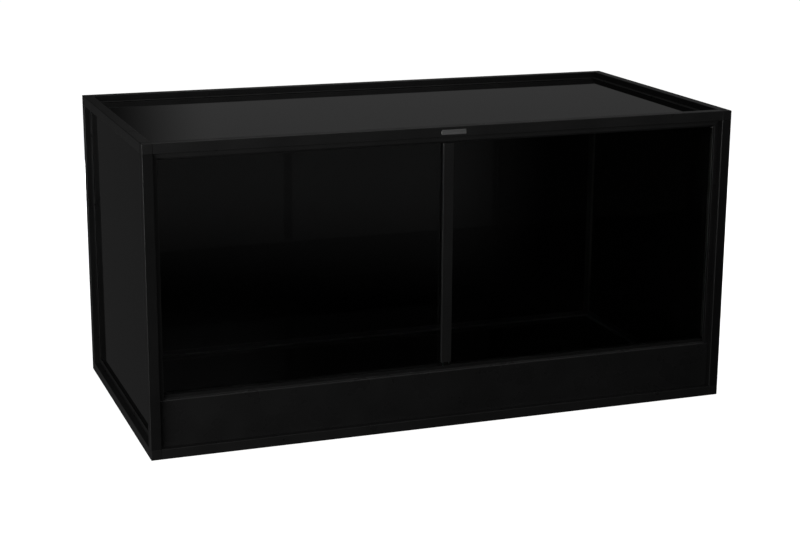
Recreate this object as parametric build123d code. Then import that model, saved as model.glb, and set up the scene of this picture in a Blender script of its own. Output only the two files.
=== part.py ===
from build123d import *
import os

# Front-opening vivarium: a black 20 mm aluminium-tube frame with push-in corner connectors,
# panels held in slotted lips, and two glass doors sliding past each other above a sill.
# Millimetres. Origin: centre of the footprint on the ground. +X right, +Y to the rear, +Z up.

# ---- driving dimensions ----
WIDTH = 1200.0
DEPTH = 600.0
HEIGHT = 600.0
TUBE = 20.0             # outer size of the square frame tube
TUBE_WALL = 1.5
TUBE_EDGE_R = 1.2       # rounding of the tube's long edges
LIP_REACH = 10.0        # how far a panel lip stands out of the tube
LIP_T = 1.5
LIP_DEPTH = 12.0        # outer face of the outer lip, below the frame's outer face
PANEL_T = 4.8           # panels lie in a 5 mm slot between two lips
PANEL_EDGE_GAP = 0.5    # panel edge to the tube
MITRE_GAP = 0.06

SILL_TOP = 111.0
SILL_DEPTH = 13.0       # sill face, behind the frame's front face
SILL_BACK = 47.0
SILL_SHEET = 2.0
SILL_EDGE_R = 1.5
SILL_END_GAP = 0.4      # at each post
SILL_BLOCK_W = 12.0
BLOCK_GAP = 0.2
SCREW_DEPTH = 17.2      # between the sill's front wall and the post's rear wall
SCREW_HEIGHTS = (62.0, 96.0)
SCREW_R = 1.2
SCREW_HEAD_R = 2.1
SCREW_HEAD_H = 2.0
SCREW_BITE = 4.0        # how far each screw runs past its block
SCREW_HOLE_R = 1.25

TRACK_FRONT = 25.0      # both door tracks, behind the frame's front face
TRACK_WALL = 2.6
GROOVE = 4.8
TRACK_WEB = 4.2
TAPE_T = 0.5
LOWER_TRACK_H = 6.0
UPPER_TRACK_H = 15.0
TRACK_FLOOR = 1.5
TRACK_EDGE_R = 0.6
TRACK_END_GAP = 1.0

GLASS_T = 4.0
GLASS_LIFT = 0.3        # running gap under each pane
GLASS_TOP = 571.5       # leaves room to lift the pane out
GLASS_EDGE = 0.4        # ground bevel
DOOR_OVERLAP_X = 10.0   # where the rear pane ends, behind the stile
SEAL_T = 2.4
SEAL_GAP = 0.6
SEAL_END_GAP = 0.3
SEAL_SLIT_W = 1.6
SEAL_SLIT_DEPTH = 0.8

STILE_W = 20.8
STILE_FRONT = 26.0
STILE_DEPTH = 8.0
STILE_BOTTOM = 124.2
STILE_TOP = 563.6
STILE_WEB = 4.2         # closed side of the stile's U section
STILE_EDGE_R = 0.8
STILE_FIT = 0.1         # clearance each side of the glass
BRUSH_INSET = 1.5
BRUSH_W = 4.0
BRUSH_GAP = 0.4

PRONG = 16.8
PRONG_LENGTH = 32.0
PRONG_TIP = 1.5         # chamfer that leads the tongue into the tube
RIB_PITCH = 6.0
RIB_GROOVE_W = 2.0
RIB_GROOVE_DEPTH = 0.8
RIB_GROOVES = 4

VENT_HOLE_W = 110.0
VENT_HOLE_H = 48.0
VENT_X = 400.0
VENT_Z = 520.0
VENT_FLANGE = 10.0
VENT_FLANGE_T = 2.0
VENT_CORNER_R = 6.0
VENT_PLAY = 0.5         # collar to panel
VENT_WALL = 2.5
LOUVRE_PITCH = 6.0
LOUVRE_GAP = 3.0
LOUVRE_END = 4.0        # solid rim beyond the slots
CABLE_HOLE_R = 25.0
CABLE_X = 0.0
GROMMET_PLAY = 0.3
GROMMET_OUTER_LIP = 5.0
GROMMET_OUTER_T = 2.5
GROMMET_INNER_LIP = 3.0
GROMMET_INNER_T = 2.2
GROMMET_WALL = 3.0

BADGE_W = 50.0
BADGE_H = 10.0
BADGE_T = 0.6
BADGE_Z = 589.5

# ---- derived ----
HALF_W = WIDTH / 2
HALF_D = DEPTH / 2
SLOT = LIP_DEPTH + LIP_T                 # outer edge of the panel slot
SLOT_W = TUBE - 2 * LIP_T - LIP_DEPTH    # 5 mm
PANEL_DEPTH = SLOT + (SLOT_W - PANEL_T) / 2
FRONT = -HALF_D
TRACK_DEPTH = 2 * TRACK_WALL + 2 * GROOVE + TRACK_WEB
TRACK_LENGTH = WIDTH - 2 * TUBE - 2 * TRACK_END_GAP
FRONT_PANE = TRACK_FRONT + TRACK_WALL + (GROOVE - GLASS_T) / 2
REAR_PANE = FRONT_PANE + GROOVE + TRACK_WEB
LOWER_TRACK_Z = SILL_TOP + TAPE_T
UPPER_TRACK_Z = HEIGHT - TUBE - TAPE_T - UPPER_TRACK_H
GLASS_BOTTOM = LOWER_TRACK_Z + TRACK_FLOOR + GLASS_LIFT
PANE_END = HALF_W - TUBE - 0.3 - SEAL_T - SEAL_GAP
MID_X = Plane.YZ
MID_Y = Plane.XZ
MID_Z = Plane.XY.offset(HEIGHT / 2)

NODES = {}


def block(x0, x1, y0, y1, z0, z1):
    """Box between two corners."""
    low = Align.MIN
    return Pos(x0, y0, z0) * Box(x1 - x0, y1 - y0, z1 - z0, align=(low, low, low))


def screw_holes(x):
    """Cutters for the sill screws, crossing the plane at x."""
    cutter = Rot(0, 90, 0) * Cylinder(SCREW_HOLE_R, 30)
    return [Pos(x, FRONT + SCREW_DEPTH, z) * cutter for z in SCREW_HEIGHTS]


# ---- frame members ----

def lip_section(normal_depth, first):
    """Section of one lip, with a rounded free edge; first says which way it stands out."""
    root = TUBE - TUBE_WALL / 2
    reach = LIP_REACH + TUBE_WALL / 2
    if first:
        strip = Pos(root + reach / 2, normal_depth + LIP_T / 2) * Rectangle(reach, LIP_T)
        free = strip.vertices().group_by(Axis.X)[-1]
    else:
        strip = Pos(normal_depth + LIP_T / 2, root + reach / 2) * Rectangle(LIP_T, reach)
        free = strip.vertices().group_by(Axis.Y)[-1]
    return fillet(free, LIP_T * 0.4)


def member_section(lips_y, lips_z):
    """Tube and its lips; lips_y stand along the section's first axis, lips_z along the second."""
    centre = Pos(TUBE / 2, TUBE / 2)
    section = centre * RectangleRounded(TUBE, TUBE, TUBE_EDGE_R)
    for depth in (LIP_DEPTH, TUBE - LIP_T):
        if lips_y:
            section += lip_section(depth, True)
        if lips_z:
            section += lip_section(depth, False)
    return section - centre * Rectangle(TUBE - 2 * TUBE_WALL, TUBE - 2 * TUBE_WALL)


def mitre_wedge(length, side, along_y):
    """What the 45 degree mitre takes off the lips at one end of a member."""
    end = side * length / 2
    far = LIP_REACH + 4
    corners = [
        (end - side * MITRE_GAP, TUBE),
        (end - side * (far + MITRE_GAP), TUBE + far),
        (end + side * 1, TUBE + far),
        (end + side * 1, TUBE),
    ]
    plane = Plane.XY if along_y else Plane.XZ
    face = plane * make_face(Polyline(*corners, close=True))
    wedge = extrude(face, amount=TUBE + 2, both=True)
    keep_low = LIP_DEPTH - 1
    if along_y:
        return wedge & block(-length, length, TUBE, TUBE + far, keep_low, TUBE + 0.01)
    return wedge & block(-length, length, keep_low, TUBE + 0.01, TUBE, TUBE + far)


def frame_member(length, lips_y=True, lips_z=True):
    """One tube along X, its outer corner edge on the X axis, its lips inwards (+Y and +Z)."""
    section = Plane.YZ * member_section(lips_y, lips_z)
    bar = extrude(section, amount=length / 2, both=True)
    for side in (-1, 1):
        if lips_y:
            bar -= mitre_wedge(length, side, True)
        if lips_z:
            bar -= mitre_wedge(length, side, False)
    return bar


def rails_along_x():
    length = WIDTH - 2 * TUBE
    low_front = Pos(0, FRONT, 0) * frame_member(length, lips_z=False)
    full = Pos(0, FRONT, 0) * frame_member(length)
    top_front = mirror(full, about=MID_Z)
    badge_z = BADGE_Z - BADGE_H / 2
    pocket = block(-BADGE_W / 2, BADGE_W / 2, FRONT - 1, FRONT + BADGE_T, badge_z, badge_z + BADGE_H)
    NODES["rail_bottom_front"] = low_front
    NODES["rail_top_front"] = top_front - pocket
    NODES["rail_bottom_rear"] = mirror(full, about=MID_Y)
    NODES["rail_top_rear"] = mirror(top_front, about=MID_Y)


def rails_along_y():
    bar = Rot(0, 0, 90) * frame_member(DEPTH - 2 * TUBE)
    right = Pos(HALF_W, 0, 0) * bar
    left = mirror(right, about=MID_X)
    NODES["rail_bottom_right"] = right
    NODES["rail_bottom_left"] = left
    NODES["rail_top_right"] = mirror(right, about=MID_Z)
    NODES["rail_top_left"] = mirror(left, about=MID_Z)


def posts():
    bar = Rot(0, -90, 0) * frame_member(HEIGHT - 2 * TUBE)
    whole = Pos(HALF_W, FRONT, HEIGHT / 2) * bar
    # the front lips stop above the sill, which fills the space between the posts
    inner = HALF_W - TUBE
    notch = block(inner - LIP_REACH - 1, inner, FRONT + LIP_DEPTH - 1, FRONT + TUBE + 0.01,
                  0, SILL_TOP + 0.3)
    front = whole - notch - screw_holes(HALF_W - TUBE)
    rear = mirror(whole, about=MID_Y)
    NODES["post_front_right"] = front
    NODES["post_front_left"] = mirror(front, about=MID_X)
    NODES["post_rear_right"] = rear
    NODES["post_rear_left"] = mirror(rear, about=MID_X)


# ---- corner connectors ----

def prong():
    """Ribbed tongue along X that is pushed into a tube."""
    bar = Pos(TUBE / 2 + PRONG_LENGTH / 2, 0, 0) * Box(PRONG_LENGTH, PRONG, PRONG)
    bar = chamfer(bar.faces().sort_by(Axis.X)[-1].edges(), PRONG_TIP)
    core = PRONG - 2 * RIB_GROOVE_DEPTH
    groove = Box(RIB_GROOVE_W, PRONG + 2, PRONG + 2) - Box(RIB_GROOVE_W, core, core)
    for i in range(RIB_GROOVES):
        bar -= Pos(TUBE / 2 + RIB_PITCH * (i + 1), 0, 0) * groove
    return bar


def connector():
    """Three-way connector for the lower front left corner."""
    cube = fillet(Box(TUBE, TUBE, TUBE).edges(), TUBE_EDGE_R)
    tongue = prong()
    body = cube + tongue + Rot(0, 0, 90) * tongue + Rot(0, -90, 0) * tongue
    return Pos(-HALF_W + TUBE / 2, FRONT + TUBE / 2, TUBE / 2) * body


def connectors():
    low = connector()
    for level, lower in (("bottom", low), ("top", mirror(low, about=MID_Z))):
        for place, piece in (("front", lower), ("rear", mirror(lower, about=MID_Y))):
            NODES[f"corner_{level}_{place}_left"] = piece
            NODES[f"corner_{level}_{place}_right"] = mirror(piece, about=MID_X)


# ---- panels ----

def panels():
    edge = TUBE + PANEL_EDGE_GAP
    x = HALF_W - edge
    y = HALF_D - edge
    inner = PANEL_DEPTH + PANEL_T
    NODES["panel_floor"] = block(-x, x, -y, y, PANEL_DEPTH, inner)
    NODES["panel_top"] = block(-x, x, -y, y, HEIGHT - inner, HEIGHT - PANEL_DEPTH)
    left = block(-HALF_W + PANEL_DEPTH, -HALF_W + inner, -y, y, edge, HEIGHT - edge)
    NODES["panel_left"] = left
    NODES["panel_right"] = mirror(left, about=MID_X)
    back = block(-x, x, HALF_D - inner, HALF_D - PANEL_DEPTH, edge, HEIGHT - edge)
    for side in (-1, 1):
        back -= Pos(side * VENT_X, HALF_D, VENT_Z) * Box(VENT_HOLE_W, 60, VENT_HOLE_H)
    back -= Pos(CABLE_X, HALF_D, VENT_Z) * Rot(90, 0, 0) * Cylinder(CABLE_HOLE_R, 60)
    NODES["panel_back"] = back


# ---- sill and door tracks ----

def sill():
    """Folded sheet standing as an upside-down U, with a block at each end."""
    half = HALF_W - TUBE - SILL_END_GAP
    front = FRONT + SILL_DEPTH
    back = FRONT + SILL_BACK
    foot = PANEL_DEPTH + PANEL_T + 0.1
    shell = block(-half, half, front, back, TUBE + 0.1, SILL_TOP)
    shell = fillet(shell.faces().sort_by(Axis.Z)[-1].edges().filter_by(Axis.X), SILL_EDGE_R)
    shell -= block(-half - 1, half + 1, front + SILL_SHEET, back - SILL_SHEET, 0, SILL_TOP - SILL_SHEET)
    foot_half = half - LIP_REACH
    shell += block(-foot_half, foot_half, back - SILL_SHEET, back, foot, TUBE + 1)
    NODES["sill_fascia"] = shell
    inset = SILL_SHEET + BLOCK_GAP
    end = block(-half, -half + SILL_BLOCK_W, front + inset, back - inset,
                TUBE + BLOCK_GAP, SILL_TOP - inset)
    end -= screw_holes(-half)
    NODES["sill_block_left"] = end
    NODES["sill_block_right"] = mirror(end, about=MID_X)


def track(height):
    """Two-groove track, grooves upwards, its front wall at TRACK_FRONT."""
    half = TRACK_LENGTH / 2
    bar = block(-half, half, 0, TRACK_DEPTH, 0, height)
    bar = fillet(bar.edges().filter_by(Axis.X).group_by(Axis.Z)[-1], TRACK_EDGE_R)
    for start in (TRACK_WALL, TRACK_WALL + GROOVE + TRACK_WEB):
        bar -= block(-half - 1, half + 1, start, start + GROOVE, TRACK_FLOOR, height + 1)
    return bar


def tracks():
    y = FRONT + TRACK_FRONT
    half = TRACK_LENGTH / 2
    NODES["track_lower"] = Pos(0, y, LOWER_TRACK_Z) * track(LOWER_TRACK_H)
    NODES["tape_lower"] = block(-half, half, y, y + TRACK_DEPTH, SILL_TOP, LOWER_TRACK_Z)
    hung = mirror(track(UPPER_TRACK_H), about=Plane.XY)
    NODES["track_upper"] = Pos(0, y, HEIGHT - TUBE - TAPE_T) * hung
    rim = FRONT + TUBE + LIP_REACH
    NODES["tape_upper"] = block(-half, half, y, rim, HEIGHT - TUBE - TAPE_T, HEIGHT - TUBE)


def side_seals():
    """Ribbed rubber strips that the closed panes meet."""
    inner = HALF_W - TUBE - SEAL_END_GAP
    y0 = FRONT + TRACK_FRONT + 1
    y1 = y0 + TRACK_DEPTH - 2
    z0 = LOWER_TRACK_Z + LOWER_TRACK_H + SEAL_END_GAP
    strip = block(-inner, -inner + SEAL_T, y0, y1, z0, UPPER_TRACK_Z - SEAL_END_GAP)
    pitch = (y1 - y0) / 3
    slit_x = -inner + SEAL_T - SEAL_SLIT_DEPTH
    for i in range(3):
        y = y0 + pitch * (i + 0.5)
        strip -= block(slit_x, slit_x + 2, y - SEAL_SLIT_W / 2, y + SEAL_SLIT_W / 2, 0, HEIGHT)
    NODES["side_seal_left"] = strip
    NODES["side_seal_right"] = mirror(strip, about=MID_X)


def fasteners():
    """Pan-head screws that hold the sill blocks to the posts."""
    seat = -(HALF_W - TUBE - SILL_END_GAP) + SILL_BLOCK_W + 0.05
    turn = Rot(0, 90, 0)
    length = SILL_BLOCK_W + SCREW_BITE
    head = fillet((turn * Cylinder(SCREW_HEAD_R, SCREW_HEAD_H)).edges().sort_by(Axis.X)[-1], 0.8)
    shank = Pos(-length / 2 - 0.5, 0, 0) * turn * Cylinder(SCREW_R, length)
    screw = head + shank
    group = []
    for side in (-1, 1):
        for z in SCREW_HEIGHTS:
            piece = Pos(seat + SCREW_HEAD_H / 2, FRONT + SCREW_DEPTH, z) * screw
            group.append(piece if side < 0 else mirror(piece, about=MID_X))
    NODES["sill_screws"] = Compound(children=group)


# ---- doors ----

def pane(x0, x1, depth):
    """Glass pane with ground edges."""
    sheet = block(x0, x1, FRONT + depth, FRONT + depth + GLASS_T, GLASS_BOTTOM, GLASS_TOP)
    return chamfer(sheet.edges().filter_by(Axis.Y, reverse=True), GLASS_EDGE)


def doors():
    half = STILE_W / 2
    y0 = FRONT + STILE_FRONT
    y1 = y0 + STILE_DEPTH
    slot_x = -half + STILE_WEB
    NODES["glass_left"] = pane(-PANE_END, DOOR_OVERLAP_X, REAR_PANE)
    NODES["glass_right"] = pane(slot_x + 2 * STILE_FIT, PANE_END, FRONT_PANE)
    stile = block(-half, half, y0, y1, STILE_BOTTOM, STILE_TOP)
    stile = fillet(stile.edges().filter_by(Axis.Z), STILE_EDGE_R)
    slot_y = FRONT + FRONT_PANE - STILE_FIT
    stile -= block(slot_x, half + 1, slot_y, slot_y + GLASS_T + 2 * STILE_FIT, 0, HEIGHT)
    NODES["door_stile"] = stile
    brush_x = -half + BRUSH_INSET
    brush_end = FRONT + REAR_PANE - BRUSH_GAP
    NODES["stile_brush"] = block(brush_x, brush_x + BRUSH_W, y1, brush_end, STILE_BOTTOM, STILE_TOP)


# ---- back panel fittings and badge ----

def vent(x):
    """Louvred vent: a flange outside the back panel, a collar through it and slotted bars."""
    y = HALF_D - PANEL_DEPTH
    flange_w = VENT_HOLE_W + 2 * VENT_FLANGE
    flange_h = VENT_HOLE_H + 2 * VENT_FLANGE
    collar_w = VENT_HOLE_W - 2 * VENT_PLAY
    collar_h = VENT_HOLE_H - 2 * VENT_PLAY
    depth = PANEL_T + 0.4
    flange = Pos(x, y + VENT_FLANGE_T / 2 + 0.05, VENT_Z) * Box(flange_w, VENT_FLANGE_T, flange_h)
    flange = fillet(flange.edges().filter_by(Axis.Y), VENT_CORNER_R)
    flange = chamfer(flange.faces().sort_by(Axis.Y)[-1].edges(), 0.6)
    collar = Pos(x, y - PANEL_T / 2, VENT_Z) * Box(collar_w, depth, collar_h)
    body = flange + collar
    hollow = Box(collar_w - 2 * VENT_WALL, PANEL_T, collar_h - 2 * VENT_WALL)
    body -= Pos(x, y - PANEL_T / 2 - 1, VENT_Z) * hollow
    slots = int((VENT_HOLE_W - 2 * LOUVRE_END) // LOUVRE_PITCH)
    slot = Box(LOUVRE_GAP, 20, VENT_HOLE_H - 2 * LOUVRE_END)
    for i in range(slots):
        body -= Pos(x + (i - (slots - 1) / 2) * LOUVRE_PITCH, y, VENT_Z) * slot
    return body


def disc(radius, y0, y1):
    """Round plate on the cable hole's axis, between two places along Y."""
    return Pos(CABLE_X, (y0 + y1) / 2, VENT_Z) * Rot(90, 0, 0) * Cylinder(radius, y1 - y0)


def cable_grommet():
    """Rubber grommet with a thin closed membrane, cut by the keeper for a cable."""
    outer = HALF_D - PANEL_DEPTH
    inner = outer - PANEL_T
    r = CABLE_HOLE_R - GROMMET_PLAY
    bore = r - GROMMET_WALL
    body = disc(r, inner - 0.2, outer + 0.2)
    body += disc(r + GROMMET_OUTER_LIP, outer + 0.1, outer + 0.1 + GROMMET_OUTER_T)
    body += disc(r + GROMMET_INNER_LIP, inner - 0.1 - GROMMET_INNER_T, inner - 0.1)
    body -= disc(bore, outer - 1, outer + 5)
    body -= disc(bore, inner - 5, outer - 2.4)
    return body


def fittings():
    NODES["vent_left"] = vent(-VENT_X)
    NODES["vent_right"] = vent(VENT_X)
    NODES["cable_grommet"] = cable_grommet()
    plate = Pos(0, FRONT + BADGE_T / 2, BADGE_Z) * Box(BADGE_W - 0.2, BADGE_T, BADGE_H - 0.2)
    NODES["blank_badge"] = plate


def main():
    rails_along_x()
    rails_along_y()
    posts()
    connectors()
    panels()
    sill()
    tracks()
    side_seals()
    fasteners()
    doors()
    fittings()
    os.makedirs("parts", exist_ok=True)
    for name, shape in NODES.items():
        export_step(shape, f"parts/{name}.step")


main()
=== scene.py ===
import math
import random

import bmesh
import bpy
from mathutils import Matrix, Vector


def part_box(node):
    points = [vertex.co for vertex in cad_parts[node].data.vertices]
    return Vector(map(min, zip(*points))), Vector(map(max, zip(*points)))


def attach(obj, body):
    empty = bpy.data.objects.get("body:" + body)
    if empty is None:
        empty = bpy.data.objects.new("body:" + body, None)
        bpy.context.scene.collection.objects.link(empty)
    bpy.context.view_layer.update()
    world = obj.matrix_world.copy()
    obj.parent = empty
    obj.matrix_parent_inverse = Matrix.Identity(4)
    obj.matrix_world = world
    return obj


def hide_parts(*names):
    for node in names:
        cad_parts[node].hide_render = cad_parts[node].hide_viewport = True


# Looks for the front-opening vivarium: black powder-coated frame, gloss panels, sliding glass.
# Metres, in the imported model's frame: origin on the floor under the middle, +X to the right,
# +Y to the rear.

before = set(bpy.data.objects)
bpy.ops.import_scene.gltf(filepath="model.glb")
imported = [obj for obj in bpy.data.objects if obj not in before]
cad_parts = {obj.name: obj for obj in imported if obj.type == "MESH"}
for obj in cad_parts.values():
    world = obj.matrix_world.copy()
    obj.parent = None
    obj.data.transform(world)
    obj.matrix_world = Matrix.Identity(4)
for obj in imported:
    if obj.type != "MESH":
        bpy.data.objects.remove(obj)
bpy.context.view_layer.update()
MM = 0.001

# The photograph's view: a long lens, from above and to the left, rolled by a third of a degree.
CAMERA_PLACE = Vector((-1.2190, -3.3426, 1.1656))
CAMERA_TARGET = Vector((0.0015, 0.0, 0.2516))
CAMERA_LENS = 78.67
CAMERA_SENSOR = 36.0
CAMERA_NEAR = 0.05
CAMERA_FAR = 60.0
CAMERA_ROLL = math.radians(0.331)

# name, place, aimed at, width, height, watts, whether gloss mirrors it
LIGHTS = (
    ("low_left", (-1.9, -1.7, 0.34), (-0.2, -0.3, 0.3), 1.6, 0.5, 14.0, True),
    ("low_right", (1.6, -2.9, 0.42), (0.2, -0.3, 0.3), 1.2, 0.4, 0.25, True),
    ("front_strip", (0.5, -1.9, 1.2), (0.3, -0.3, 0.3), 1.8, 0.6, 2.0, True),
    ("overhead", (0.0, 0.2, 2.6), (0.0, 0.0, 0.6), 2.4, 1.6, 9.0, True),
    ("low_rear", (0.5, 2.6, 0.32), (0.2, 0.3, 0.3), 2.0, 0.4, 30.0, False),
    ("low_side", (2.6, 0.4, 0.32), (0.6, 0.1, 0.3), 1.2, 0.4, 16.0, False),
)

# Glows of the dim room around the object, in degrees. Heading is 0 to the rear, 90 to the right.
# name, heading, elevation, half width, half height, softness, strength
GLOWS = (
    ("front_left", 198.5, 15.7, 41.5, 29.3, 4.5, 0.055),
    ("front_floor", 190.0, -30.0, 26.0, 13.5, 4.0, 0.024),
    ("rear_right", 61.0, 10.0, 49.0, 18.0, 4.0, 0.092),
    ("rear_high", 30.0, 46.0, 60.0, 18.0, 4.0, 0.030),
    ("rear_left", 345.0, 14.0, 25.0, 20.0, 6.0, 0.014),
    ("rear_left_low", 345.0, -22.0, 30.0, 16.0, 6.0, 0.041),
    ("left", 270.0, 10.0, 40.0, 34.0, 12.0, 0.030),
    ("left_floor", 258.0, -22.0, 36.0, 16.0, 6.0, 0.300),
    ("rear_left_floor", 312.0, -20.0, 17.0, 14.0, 6.0, 0.220),
    ("right_floor", 58.0, -24.0, 55.0, 15.0, 5.0, 0.300),
    ("ceiling", 0.0, 70.0, 85.0, 14.0, 8.0, 0.250),
)

BACKGROUND_STRENGTH = 1.0   # pure white behind the object
FLOOR_HALF_SIDE = 30.0
FLOOR_DROP = 0.2 * MM       # keeps the floor clear of the bottom rails' faces
FLOOR_GREY = 0.9
FLOOR_GLOW = 1.0            # lifts the floor to the background's white

SHARP_ANGLE = math.radians(35)


# ---------------------------------------------------------------- camera, floor and lights

def aimed(place, target):
    """World matrix of a light or camera at place whose -Z points at target."""
    place = Vector(place)
    turn = (Vector(target) - place).to_track_quat("-Z", "Y")
    return Matrix.Translation(place) @ turn.to_matrix().to_4x4()


def add_camera():
    data = bpy.data.cameras.new("camera")
    data.lens = CAMERA_LENS
    data.sensor_width = CAMERA_SENSOR
    data.clip_start = CAMERA_NEAR
    data.clip_end = CAMERA_FAR
    camera = bpy.data.objects.new("camera", data)
    camera.matrix_world = aimed(CAMERA_PLACE, CAMERA_TARGET) @ Matrix.Rotation(CAMERA_ROLL, 4, "Z")
    bpy.context.scene.collection.objects.link(camera)
    bpy.context.scene.camera = camera


def add_lights():
    for name, place, target, width, height, watts, mirrored in LIGHTS:
        data = bpy.data.lights.new(name, "AREA")
        data.shape = "RECTANGLE"
        data.size = width
        data.size_y = height
        data.energy = watts
        light = bpy.data.objects.new(name, data)
        light.matrix_world = aimed(place, target)
        light.visible_camera = False
        light.visible_glossy = mirrored
        bpy.context.scene.collection.objects.link(light)


def math_node(tree, operation, *values):
    node = tree.nodes.new("ShaderNodeMath")
    node.operation = operation
    for socket, value in zip(node.inputs, values):
        if isinstance(value, (int, float)):
            socket.default_value = value
        else:
            tree.links.new(value, socket)
    return node.outputs[0]


def window(tree, angle, half_width, softness):
    """1 where the angle is within half_width of zero, 0 outside, with soft shoulders. Radians."""
    node = tree.nodes.new("ShaderNodeMapRange")
    node.interpolation_type = "SMOOTHSTEP"
    node.inputs["From Min"].default_value = half_width + softness / 2
    node.inputs["From Max"].default_value = half_width - softness / 2
    tree.links.new(math_node(tree, "ABSOLUTE", angle), node.inputs["Value"])
    return node.outputs["Result"]


def glow(tree, direction, name, heading, elevation, half_width, half_height, softness, strength):
    """One soft-edged patch of brightness in the room, centred on a heading and an elevation.

    Angles in radians.
    """
    turn = tree.nodes.new("ShaderNodeVectorRotate")
    turn.label = name
    turn.rotation_type = "Z_AXIS"
    turn.inputs["Angle"].default_value = heading
    tree.links.new(direction, turn.inputs["Vector"])
    axes = tree.nodes.new("ShaderNodeSeparateXYZ")
    tree.links.new(turn.outputs["Vector"], axes.inputs[0])
    x, y, z = axes.outputs
    across = window(tree, math_node(tree, "ARCTAN2", x, y), half_width, softness)
    rise = math_node(tree, "SUBTRACT", math_node(tree, "ARCSINE", z), elevation)
    patch = math_node(tree, "MULTIPLY", across, window(tree, rise, half_height, softness))
    return math_node(tree, "MULTIPLY", patch, strength)


def add_world():
    """White behind the object; a dim room with soft glows for everything the surfaces reflect."""
    world = bpy.data.worlds.new("studio")
    world.use_nodes = True
    bpy.context.scene.world = world
    tree = world.node_tree
    tree.nodes.clear()
    output = tree.nodes.new("ShaderNodeOutputWorld")
    mix = tree.nodes.new("ShaderNodeMixShader")
    path = tree.nodes.new("ShaderNodeLightPath")
    white = tree.nodes.new("ShaderNodeBackground")
    white.inputs["Strength"].default_value = BACKGROUND_STRENGTH
    room = tree.nodes.new("ShaderNodeBackground")
    direction = tree.nodes.new("ShaderNodeTexCoord").outputs["Generated"]
    total = 0.0
    for name, *angles, strength in GLOWS:
        patch = glow(tree, direction, name, *(math.radians(angle) for angle in angles), strength)
        total = math_node(tree, "ADD", patch, total)
    tree.links.new(total, room.inputs["Strength"])
    tree.links.new(path.outputs["Is Camera Ray"], mix.inputs["Fac"])
    tree.links.new(room.outputs[0], mix.inputs[1])
    tree.links.new(white.outputs[0], mix.inputs[2])
    tree.links.new(mix.outputs[0], output.inputs["Surface"])


def add_floor():
    """Pale seamless floor. The object isn't lit by it, and its gloss and glass don't show it."""
    mesh = bpy.data.meshes.new("floor")
    side = FLOOR_HALF_SIDE
    corners = [(-side, -side, 0), (side, -side, 0), (side, side, 0), (-side, side, 0)]
    mesh.from_pydata(corners, [], [(0, 1, 2, 3)])
    floor = bpy.data.objects.new("floor", mesh)
    floor.location.z = -FLOOR_DROP
    bpy.context.scene.collection.objects.link(floor)
    look = Surface("floor_paper")
    look.set(Roughness=0.9)
    look.shader.inputs["Base Color"].default_value = (*grey(FLOOR_GREY), 1)
    look.shader.inputs["Emission Color"].default_value = (*grey(1.0), 1)
    look.shader.inputs["Emission Strength"].default_value = FLOOR_GLOW
    mesh.materials.append(look.material)
    floor.visible_glossy = False
    floor.visible_diffuse = False
    floor.visible_transmission = False


# ---------------------------------------------------------------- materials
# In each material, shade is its linear grey, and low and high are the limits of its roughness.

class Surface:
    """One procedural material on a Principled shader, its patterns in metres on the piece."""

    def __init__(self, name):
        self.material = bpy.data.materials.new(name)
        self.material.use_nodes = True
        self.tree = self.material.node_tree
        self.shader = self.tree.nodes["Principled BSDF"]
        self.place = self.tree.nodes.new("ShaderNodeTexCoord").outputs["Object"]
        self.relief = None      # the bumps so far, as a normal

    def link(self, output, socket):
        self.tree.links.new(output, socket)

    def set(self, **values):
        """Uniform values, on the shader's own sockets."""
        for name, value in values.items():
            self.shader.inputs[name.replace("_", " ")].default_value = value

    def noise(self, size, stretch=(1, 1, 1), detail=3.0, seed=0.0):
        """Noise whose features are size metres across, longer where stretch is more than 1."""
        mapping = self.tree.nodes.new("ShaderNodeMapping")
        mapping.inputs["Location"].default_value = (seed, seed * 0.7, -seed)
        mapping.inputs["Scale"].default_value = [1 / (size * s) for s in stretch]
        self.link(self.place, mapping.inputs["Vector"])
        node = self.tree.nodes.new("ShaderNodeTexNoise")
        node.inputs["Scale"].default_value = 1.0
        node.inputs["Detail"].default_value = detail
        self.link(mapping.outputs["Vector"], node.inputs["Vector"])
        return node.outputs["Fac"]

    def levels(self, value, low, high, start=0.3, end=0.7):
        """Stretches value from start..end to low..high."""
        node = self.tree.nodes.new("ShaderNodeMapRange")
        numbers = {"From Min": start, "From Max": end, "To Min": low, "To Max": high}
        for name, number in numbers.items():
            node.inputs[name].default_value = number
        self.link(value, node.inputs["Value"])
        return node.outputs["Result"]

    def blend(self, factor, first, second):
        """Colour between first and second by factor."""
        node = self.tree.nodes.new("ShaderNodeMix")
        node.data_type = "RGBA"
        self.link(factor, node.inputs["Factor"])
        for socket, colour in ((node.inputs["A"], first), (node.inputs["B"], second)):
            if isinstance(colour, tuple):
                socket.default_value = (*colour, 1.0)
            else:
                self.link(colour, socket)
        return node.outputs["Result"]

    def colour(self, factor, first, second):
        self.link(self.blend(factor, first, second), self.shader.inputs["Base Color"])

    def rough(self, value, low, high):
        self.link(self.levels(value, low, high), self.shader.inputs["Roughness"])

    def bump(self, value, depth):
        """Adds relief that is depth metres from its lowest to its highest point."""
        node = self.tree.nodes.new("ShaderNodeBump")
        node.inputs["Strength"].default_value = 1.0
        node.inputs["Distance"].default_value = depth
        self.link(value, node.inputs["Height"])
        if self.relief is not None:
            self.link(self.relief, node.inputs["Normal"])
        self.relief = node.outputs["Normal"]
        self.link(self.relief, self.shader.inputs["Normal"])


def grey(value):
    """A neutral colour."""
    return (value, value, value)


MARK_AND_HIGHLIGHT_LIFT = 1.35            # how much lighter handling marks make a coat, and how much lighter the painted top highlight makes upward faces
DRAW_LINE_STRETCH = 120     # length of an extrusion's draw lines over their width
HIGHLIGHT_FROM, HIGHLIGHT_FULL = 0.4, 0.9   # upward part of the normal where the painted top highlight starts and is full


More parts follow.
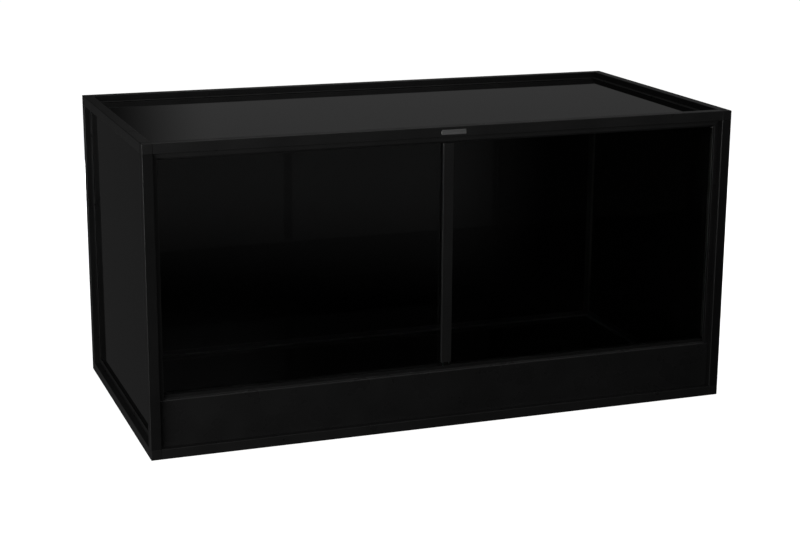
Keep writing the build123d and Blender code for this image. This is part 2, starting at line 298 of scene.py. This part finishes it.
def powder_coat(name, along, shade, low, high, dust=0.0):
    """Satin powder coat on an extrusion: orange peel, faint draw lines along it, handling marks.

    Upward faces get a painted highlight: as light as the marks, or as the dust grey if that is
    lighter. All three are greys.
    """
    look = Surface(name)
    look.set(Anisotropic=0.5, Anisotropic_Rotation=0.25)
    tangent = look.tree.nodes.new("ShaderNodeTangent")
    tangent.direction_type = "RADIAL"
    tangent.axis = along.upper()
    look.link(tangent.outputs[0], look.shader.inputs["Tangent"])
    draw_lines = tuple(DRAW_LINE_STRETCH if axis == along else 1 for axis in "xyz")
    marks = look.noise(90 * MM, detail=5.0, seed=3.0)
    coat = look.blend(look.levels(marks, 0, 1), grey(shade), grey(shade * MARK_AND_HIGHLIGHT_LIFT))
    axes = look.tree.nodes.new("ShaderNodeSeparateXYZ")
    look.link(look.tree.nodes.new("ShaderNodeNewGeometry").outputs["Normal"], axes.inputs[0])
    painted_top_highlight = look.levels(axes.outputs[2], 0, 1, HIGHLIGHT_FROM, HIGHLIGHT_FULL)
    # Painted highlight: upward faces lighter than the coat, to the marks' grey or the dust grey.
    look.colour(painted_top_highlight, coat, grey(max(dust, shade * MARK_AND_HIGHLIGHT_LIFT)))
    look.rough(look.noise(45 * MM, detail=3.0, seed=1.0), low, high)
    look.bump(look.noise(1.3 * MM, detail=2.0, seed=5.0), 0.007 * MM)
    look.bump(look.noise(0.8 * MM, draw_lines, detail=1.0, seed=7.0), 0.006 * MM)
    return look.material


PANEL_DUST = 0.02


def gloss_sheet(name, shade, low, high):
    """Gloss laminate: very slight waviness, cleaning smears and a little fine dust."""
    look = Surface(name)
    dust = look.levels(look.noise(0.9 * MM, detail=2.0, seed=11.0), 0, 1, 0.70, 0.78)
    veil = look.levels(look.noise(160 * MM, detail=4.0, seed=2.0), 0, 1)
    film = look.blend(veil, grey(shade), grey(shade * 1.3))
    look.colour(dust, film, grey(PANEL_DUST))
    smears = look.noise(45 * MM, (1, 2.4, 1.2), detail=6.0, seed=4.0)
    look.rough(smears, low, high)
    look.bump(look.noise(120 * MM, detail=1.0, seed=6.0), 0.05 * MM)
    look.bump(look.noise(2.0 * MM, detail=2.0, seed=8.0), 0.0015 * MM)
    return look.material


EDGE_GREEN = (0.20, 0.46, 0.36)
FACE_TINT = (0.962, 0.974, 0.968)
EDGE_ROUGHNESS = 0.30
EDGE_UP_TO, FACE_FROM = 0.90, 0.99  # depthwise part of the normal on edges and on faces


def float_glass():
    """Clear glass: faint smears on its faces, green and finely ground at its edges."""
    look = Surface("float_glass")
    look.set(Transmission_Weight=1.0, IOR=1.52)
    normal = look.tree.nodes.new("ShaderNodeNewGeometry").outputs["Normal"]
    axes = look.tree.nodes.new("ShaderNodeSeparateXYZ")
    look.link(normal, axes.inputs[0])
    facing = math_node(look.tree, "ABSOLUTE", axes.outputs[1])
    face = look.levels(facing, 0, 1, EDGE_UP_TO, FACE_FROM)
    look.colour(face, EDGE_GREEN, FACE_TINT)
    smears = look.noise(60 * MM, (1, 1, 2.2), detail=6.0, seed=9.0)
    film = look.levels(smears, 0.0, 0.035, 0.42, 0.75)
    rough = look.tree.nodes.new("ShaderNodeMix")
    look.link(face, rough.inputs["Factor"])
    rough.inputs["A"].default_value = EDGE_ROUGHNESS
    look.link(film, rough.inputs["B"])
    look.link(rough.outputs["Result"], look.shader.inputs["Roughness"])
    return look.material


def moulded(name, shade, low, high, grain=0.6 * MM, depth=0.015 * MM):
    """Moulded or extruded plastic or rubber with a fine even grain."""
    look = Surface(name)
    patches = look.noise(35 * MM, detail=4.0, seed=2.5)
    look.colour(look.levels(patches, 0, 1), grey(shade), grey(shade * 1.4))
    look.rough(look.noise(9 * MM, detail=4.0, seed=1.5), low, high)
    look.bump(look.noise(grain, detail=2.0, seed=4.5), depth)
    return look.material


def foam():
    """Closed-cell foam tape."""
    look = Surface("foam_tape")
    cells = look.tree.nodes.new("ShaderNodeTexVoronoi")
    cells.inputs["Scale"].default_value = 1 / (0.5 * MM)
    look.link(look.place, cells.inputs["Vector"])
    pores = cells.outputs["Distance"]
    # Darker towards each cell's middle, where the bump is lowest: painted shade in the pores.
    look.colour(look.levels(pores, 0, 1, 0.0, 0.6), grey(0.010), grey(0.030))
    look.rough(pores, 0.75, 0.9)
    look.bump(pores, 0.08 * MM)
    return look.material


def metal(name, shade, low, high, stretch):
    """Brushed metal, its lines along the stretched axis."""
    look = Surface(name)
    look.set(Metallic=1.0)
    lines = look.noise(0.35 * MM, stretch, detail=3.0, seed=1.0)
    look.colour(look.levels(lines, 0, 1), grey(shade * 0.82), grey(shade))
    look.rough(lines, low, high)
    look.bump(lines, 0.006 * MM)
    return look.material


def pile():
    """Soft black bristles, with a fine random grain of darker and lighter grey."""
    look = Surface("brush_pile")
    strands = look.noise(0.5 * MM, detail=2.0, seed=3.0)
    look.colour(look.levels(strands, 0, 1), grey(0.006), grey(0.020))
    look.rough(strands, 0.55, 0.8)
    look.bump(strands, 0.05 * MM)
    return look.material


def paint(material, *names):
    """Gives CAD nodes a material."""
    for name in names:
        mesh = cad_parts[name].data
        mesh.materials.clear()
        mesh.materials.append(material)


def along_axis(name):
    """The axis that a frame member runs along."""
    if name.startswith("post_"):
        return "z"
    return "y" if name.endswith(("_left", "_right")) else "x"


def paint_nodes():
    # One powder coat in three greys by the way a member runs: rails lighter as painted light,
    # posts darker as painted shade.
    painted_light_greys = {"x": 0.019, "y": 0.017, "z": 0.011}
    coats = {axis: powder_coat(f"powder_coat_{axis}", axis, shade, 0.27, 0.35)
             for axis, shade in painted_light_greys.items()}
    nylon = moulded("satin_nylon", 0.014, 0.38, 0.46)
    sheet = gloss_sheet("gloss_panel", 0.004, 0.025, 0.05)
    extruded = moulded("track_plastic", 0.007, 0.40, 0.52)
    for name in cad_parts:
        if name.startswith(("rail_", "post_")):
            paint(coats[along_axis(name)], name)
        elif name.startswith("corner_"):
            paint(nylon, name)
        elif name.startswith("panel_"):
            paint(sheet, name)
        elif name.startswith("track_"):
            paint(extruded, name)
    paint(float_glass(), "glass_left", "glass_right")
    # The sill's dust grey of 0.10 makes its top faces far lighter: dust and a painted highlight
    # along the sill's top edge.
    paint(powder_coat("sill_coat", "x", 0.017, 0.25, 0.33, dust=0.10), "sill_fascia")
    paint(powder_coat("stile_coat", "z", 0.018, 0.32, 0.40), "door_stile")
    paint(moulded("machined_block", 0.022, 0.45, 0.6), "sill_block_left", "sill_block_right")
    paint(moulded("vent_plastic", 0.016, 0.42, 0.55), "vent_left", "vent_right")
    paint(moulded("grommet_rubber", 0.006, 0.62, 0.78, grain=0.9 * MM), "cable_grommet")
    # The seals' grey is lighter than their black rubber: a painted highlight for the light line
    # along the glass's edges.
    seal = moulded("seal_rubber", 0.045, 0.40, 0.55, grain=0.9 * MM)
    paint(seal, "side_seal_left", "side_seal_right")
    paint(foam(), "tape_lower", "tape_upper")
    paint(metal("zinc_plate", 0.55, 0.25, 0.4, (1, 6, 6)), "sill_screws")


# ---------------------------------------------------------------- detail pieces

def add_piece(name, mesh, material, body, slot, *stands_for):
    """Links a finished mesh, shades it smooth by angle, and rides it on a body."""
    mesh.materials.append(material)
    mesh.shade_smooth()
    mesh.set_sharp_from_angle(angle=SHARP_ANGLE)
    piece = bpy.data.objects.new(name, mesh)
    bpy.context.scene.collection.objects.link(piece)
    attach(piece, body)
    if stands_for:
        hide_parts(*stands_for)


def mesh_from(name, build):
    """A mesh made by build(bm)."""
    bm = bmesh.new()
    build(bm)
    bmesh.ops.recalc_face_normals(bm, faces=bm.faces)
    mesh = bpy.data.meshes.new(name)
    bm.to_mesh(mesh)
    bm.free()
    return mesh


def tube(bm, points, radius, sides):
    """Closed tube of the given radius through points, which lie on an almost straight line."""
    first = Vector(points[0])
    axis = (Vector(points[-1]) - first).normalized()
    side = axis.orthogonal().normalized()
    up = axis.cross(side)
    rings = []
    for point in points:
        ring = []
        for i in range(sides):
            turn = 2 * math.pi * (i + 0.5) / sides
            offset = side * math.cos(turn) + up * math.sin(turn)
            ring.append(bm.verts.new(Vector(point) + offset * radius))
        rings.append(ring)
    for low, high in zip(rings, rings[1:]):
        for i in range(sides):
            j = (i + 1) % sides
            bm.faces.new((low[i], low[j], high[j], high[i]))
    bm.faces.new(rings[0][::-1])
    bm.faces.new(rings[-1])


def add_vent_screen(side, material):
    """Woven insect mesh clamped behind a vent's louvres, inside its collar."""
    low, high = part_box(f"vent_{side}")
    centre = (low + high) / 2
    rim = 13.5 * MM         # flange and collar wall, with half a millimetre to spare
    half_w = (high.x - low.x) / 2 - rim
    half_h = (high.z - low.z) / 2 - rim
    pitch = 2.5 * MM
    wire = 0.22 * MM
    wire_sides = 5
    y = low.y + 1.2 * MM    # inside the collar, clear of the louvres

    def run(bm, row, half_run, half_across, turned):
        """One wire, bent over and under the wires that cross it."""
        count = int(2 * half_run / pitch)
        points = []
        for i in range(count + 1):
            along = -half_run + i * 2 * half_run / count
            over = wire * (1 if (i + row) % 2 else -1) * (-1 if turned else 1)
            across = -half_across + (row + 0.5) * pitch
            x, z = (across, along) if turned else (along, across)
            points.append((centre.x + x, y + over, centre.z + z))
        tube(bm, points, wire, wire_sides)

    def build(bm):
        for i in range(int(2 * half_h / pitch)):
            run(bm, i, half_w, half_h, False)
        for i in range(int(2 * half_w / pitch)):
            run(bm, i, half_h, half_w, True)

    mesh = mesh_from(f"vent_screen_{side}", build)
    add_piece(f"vent_screen_{side}", mesh, material, "cabinet", "vent_black")


def add_brush():
    """Pile brush on the back of the stile: a woven backing and rows of fine bristles."""
    low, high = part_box("stile_brush")
    backing = 0.7 * MM
    rounding = 0.15 * MM
    rows = 5
    pitch = 1.2 * MM
    radius = 0.16 * MM
    bristle_sides = 3
    end_margin = 1.0 * MM
    sway_x = 0.25 * MM
    sway_z = 0.4 * MM
    shortfall = 0.3 * MM
    rooting = 0.6           # how far through the backing the bristles start
    draw = random.Random(4)

    def build(bm):
        back = bmesh.ops.create_cube(bm, size=1.0)["verts"]
        size = Vector((high.x - low.x, backing, high.z - low.z))
        bmesh.ops.scale(bm, vec=size, verts=back)
        middle = Vector(((low.x + high.x) / 2, low.y + backing / 2, (low.z + high.z) / 2))
        bmesh.ops.translate(bm, vec=middle, verts=back)
        edges = list({e for v in back for e in v.link_edges})
        bmesh.ops.bevel(bm, geom=edges, offset=rounding, segments=2, affect="EDGES")
        count = int((high.z - low.z - 2 * end_margin) / pitch)
        for row in range(rows):
            x = low.x + (row + 0.5) / rows * (high.x - low.x)
            for i in range(count):
                z = low.z + end_margin + (i + 0.5 * (row % 2)) * pitch
                lean = (draw.uniform(-sway_x, sway_x), draw.uniform(-sway_z, sway_z))
                root = Vector((x, low.y + backing * rooting, z))
                tip = Vector((x + lean[0], high.y - draw.uniform(0, shortfall), z + lean[1]))
                tube(bm, (root, tip), radius, bristle_sides)

    mesh = mesh_from("stile_brush_pile", build)
    add_piece("stile_brush_pile", mesh, pile(), "right_door", "brush_black", "stile_brush")


def add_badge():
    """Plain satin plate, with nothing on it, in the top rail's pocket."""
    low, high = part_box("blank_badge")
    corner = 1.6 * MM
    edge = 0.15 * MM
    steps = 6
    corners = (     # centre of each rounded corner, and the angle where its arc starts
        (high.x - corner, high.z - corner, 0),
        (low.x + corner, high.z - corner, 90),
        (low.x + corner, low.z + corner, 180),
        (high.x - corner, low.z + corner, 270),
    )

    def outline(inset):
        points = []
        radius = corner - inset
        for cx, cz, start in corners:
            for i in range(steps + 1):
                turn = math.radians(start + 90 * i / steps)
                points.append((cx + radius * math.cos(turn), cz + radius * math.sin(turn)))
        return points

    def build(bm):
        layers = ((0.0, high.y), (0.0, low.y + edge), (edge, low.y))
        rings = [[bm.verts.new((x, y, z)) for x, z in outline(inset)] for inset, y in layers]
        for back, front in zip(rings, rings[1:]):
            for i in range(len(back)):
                j = (i + 1) % len(back)
                bm.faces.new((back[i], back[j], front[j], front[i]))
        bm.faces.new(rings[0])
        bm.faces.new(rings[-1][::-1])

    mesh = mesh_from("badge_plate", build)
    satin = metal("badge_aluminium", 0.8, 0.28, 0.40, (60, 1, 1))
    add_piece("badge_plate", mesh, satin, "cabinet", "badge_satin", "blank_badge")


bpy.context.scene.view_settings.view_transform = "Standard"
add_camera()
add_floor()
add_lights()
add_world()
paint_nodes()
screen_wire = moulded("screen_wire", 0.02, 0.4, 0.55)
for vent_side in ("left", "right"):
    add_vent_screen(vent_side, screen_wire)
add_brush()
add_badge()
